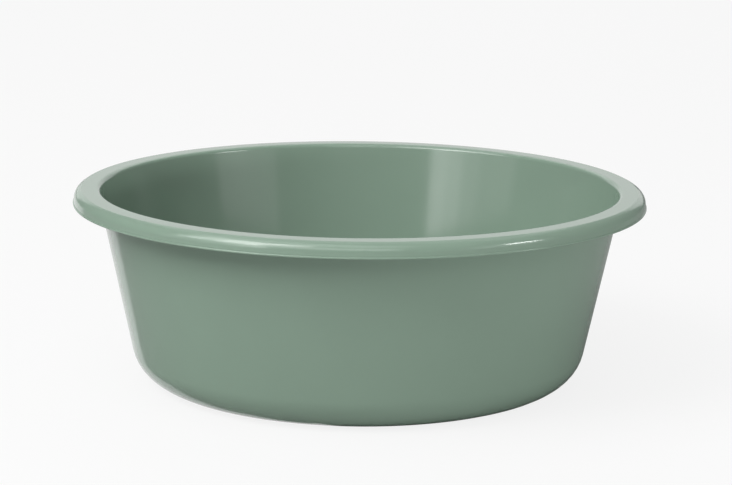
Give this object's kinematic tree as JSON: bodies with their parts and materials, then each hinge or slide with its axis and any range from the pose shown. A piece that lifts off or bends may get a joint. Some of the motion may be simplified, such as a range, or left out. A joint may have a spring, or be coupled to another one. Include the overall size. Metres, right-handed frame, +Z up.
{
  "type": "washing-up bowl",
  "caption": "Round washing-up bowl: a tapered one-piece plastic shell with a rounded base corner and a flat rim whose turned-down skirt fingers hook under.",
  "frame": {"origin": "middle of the base, at the height of the surface that the bowl stands on", "axes": "+Z up along the bowl's axis; X and Y are any two directions across the round mouth"},
  "size_m": [0.3599, 0.36, 0.1225],
  "materials": {
    "bowl_plastic": "satin sage green polypropylene, smooth from a polished mould"
  },
  "bodies": {
    "root": {"bowl": "bowl_plastic"}
  },
  "joints": []
}
